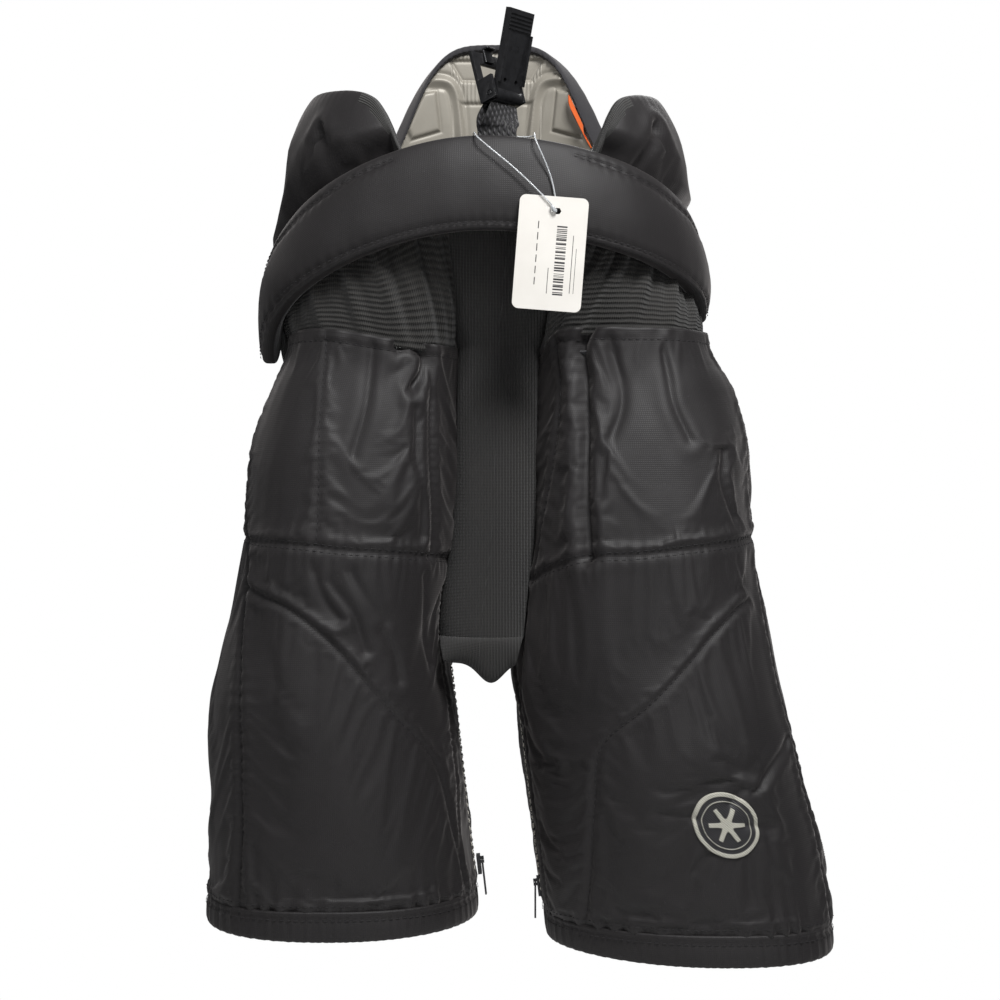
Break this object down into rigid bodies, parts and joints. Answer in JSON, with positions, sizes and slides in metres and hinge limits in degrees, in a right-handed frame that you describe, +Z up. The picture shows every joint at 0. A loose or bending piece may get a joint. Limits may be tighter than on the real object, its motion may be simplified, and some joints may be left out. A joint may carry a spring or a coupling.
{
  "type": "ice hockey pants",
  "caption": "Padded ice hockey pants: belt pad, kidney wings and high back over two guarded thigh legs, hung up by the open cam buckle of the belt, with a price tag.",
  "frame": {"origin": "the hang point, at the middle of the window in the belt buckle's frame, where the hook that holds the pants up passes", "axes": "+Z up, -Y towards the front of the pants, +X towards the wearer's left"},
  "size_m": [0.4203, 0.2455, 0.63],
  "materials": {
    "nylon": "black satin nylon with a fine weave",
    "knit": "matt black ribbed stretch knit",
    "lining": "black brushed lining",
    "webbing": "black woven webbing",
    "foam": "grey closed cell foam",
    "guard": "white moulded polyethylene",
    "moulded_liner": "silver grey embossed foam laminate",
    "binding": "dark grey edge binding",
    "orange_tab": "orange woven tab",
    "buckle_plastic": "black acetal",
    "buckle_metal": "nickel plated steel",
    "tag_card": "white coated card",
    "tag_loop": "clear nylon filament",
    "embroidery": "silver grey embroidery thread",
    "zip_teeth": "black moulded zip on white stitched tape",
    "zip_metal": "black enamelled zinc"
  },
  "bodies": {
    "waist": {"back_cover": "nylon", "back_foam": "foam", "back_liner": "moulded_liner", "back_liner_binding": "binding", "belt_webbing_left": "webbing", "belt_webbing_right": "webbing", "buckle_catch": "buckle_metal", "buckle_frame": "buckle_plastic", "buckle_pin": "buckle_metal", "crotch_gusset_left": "knit", "crotch_gusset_right": "knit", "fly_knit_left": "knit", "fly_knit_right": "knit", "front_belt_cover": "nylon", "front_belt_foam": "foam", "front_belt_lining": "lining", "hip_knit_left": "knit", "hip_knit_right": "knit", "kidney_wing_cover_left": "nylon", "kidney_wing_cover_right": "nylon", "kidney_wing_foam_left": "foam", "kidney_wing_foam_right": "foam", "liner_tab": "orange_tab", "seat_knit_left": "knit", "seat_knit_right": "knit", "spine_guard_plate": "guard", "tailbone_guard": "foam"},
    "leg_right": {"back_panel_right": "nylon", "front_lower_panel_right": "nylon", "front_upper_panel_right": "nylon", "hem_band_right": "nylon", "hip_guard_foam_right": "foam", "inner_back_panel_right": "nylon", "inner_front_panel_right": "nylon", "leg_liner_right": "lining", "side_panel_right": "nylon", "thigh_guard_foam_right": "foam", "thigh_guard_plate_right": "guard", "zip_chain_right": "zip_teeth"},
    "leg_left": {"back_panel_left": "nylon", "front_lower_panel_left": "nylon", "front_upper_panel_left": "nylon", "hem_band_left": "nylon", "hip_guard_foam_left": "foam", "inner_back_panel_left": "nylon", "inner_front_panel_left": "nylon", "leg_liner_left": "lining", "side_panel_left": "nylon", "thigh_guard_foam_left": "foam", "thigh_guard_plate_left": "guard", "zip_chain_left": "zip_teeth", "thigh_badge": "embroidery"},
    "lever": {"buckle_lever": "buckle_plastic"},
    "tag": {"tag_card": "tag_card", "tag_loop": "tag_loop"},
    "slider_right": {"zip_slider_right": "zip_metal"},
    "pull_right": {"zip_pull_right": "zip_metal"},
    "slider_left": {"zip_slider_left": "zip_metal"},
    "pull_left": {"zip_pull_left": "zip_metal"}
  },
  "joints": [
    {"name": "hip_right", "type": "hinge", "parent": "waist", "child": "leg_right", "pos_m": [0.00803, 0.05098, -0.18206], "axis": [-1, 0, 0], "range_deg": [-10, 35], "deforming": ["hip_knit_right", "seat_knit_right", "fly_knit_right", "crotch_gusset_right"]},
    {"name": "hip_left", "type": "hinge", "parent": "waist", "child": "leg_left", "pos_m": [0.00803, 0.04187, -0.18206], "axis": [-1, 0, 0], "range_deg": [-10, 35], "deforming": ["hip_knit_left", "seat_knit_left", "fly_knit_left", "crotch_gusset_left"]},
    {"name": "lever_turn", "type": "hinge", "parent": "waist", "child": "lever", "pos_m": [0.00953, -0.008, -0.01607], "axis": [0.6428, 0.766, 0], "range_deg": [-26, 40]},
    {"name": "tag_swing", "type": "hinge", "parent": "waist", "child": "tag", "pos_m": [0.01103, -0.00835, -0.04206], "axis": [-1, 0, 0], "range_deg": [0, 85]},
    {"name": "zip_slide_right", "type": "slide", "parent": "leg_right", "child": "slider_right", "axis": [-0.1138, -0.0363, 0.9928], "range_m": [0, 0.142]},
    {"name": "pull_turn_right", "type": "hinge", "parent": "slider_right", "child": "pull_right", "pos_m": [-0.00571, 0.09235, -0.52008], "axis": [0, -0.9993, -0.0365], "range_deg": [0, 160]},
    {"name": "zip_slide_left", "type": "slide", "parent": "leg_left", "child": "slider_left", "axis": [-0.1191, 0.01, 0.9928], "range_m": [0, 0.142]},
    {"name": "pull_turn_left", "type": "hinge", "parent": "slider_left", "child": "pull_left", "pos_m": [0.03065, 0.07597, -0.53257], "axis": [0, 0.9999, -0.0101], "range_deg": [0, 160]}
  ]
}
